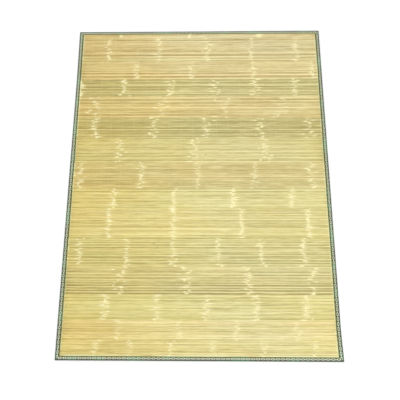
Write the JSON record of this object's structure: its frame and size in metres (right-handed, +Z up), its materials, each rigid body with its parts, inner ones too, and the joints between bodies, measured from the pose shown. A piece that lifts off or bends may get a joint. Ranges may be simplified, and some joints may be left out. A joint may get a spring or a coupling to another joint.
{
  "type": "bamboo mat",
  "caption": "Flat rectangular floor mat of split-bamboo slats sewn side by side, with a folded woven tape binding its edges and mitred corners.",
  "frame": {"origin": "centre of the underside, on the surface that the mat lies on", "axes": "+X along the slats, +Y along the length of the mat towards its far end, +Z up out of the upper face"},
  "size_m": [1.2, 1.64, 0.0055],
  "materials": {
    "bamboo_honey": "satin",
    "bamboo_olive": "satin",
    "bamboo_straw": "satin",
    "bamboo_pale": "satin",
    "edge_tape": "woven"
  },
  "bodies": {
    "root": {"culm_01": "bamboo_honey", "culm_02": "bamboo_honey", "culm_03": "bamboo_honey", "culm_04": "bamboo_olive", "culm_05": "bamboo_honey", "culm_06": "bamboo_olive", "culm_07": "bamboo_straw", "culm_08": "bamboo_straw", "culm_09": "bamboo_pale", "culm_10": "bamboo_pale", "culm_11": "bamboo_straw", "culm_12": "bamboo_olive", "culm_13": "bamboo_pale", "culm_14": "bamboo_pale", "culm_15": "bamboo_pale", "tape_near": "edge_tape", "tape_right": "edge_tape", "tape_far": "edge_tape", "tape_left": "edge_tape"}
  },
  "joints": []
}
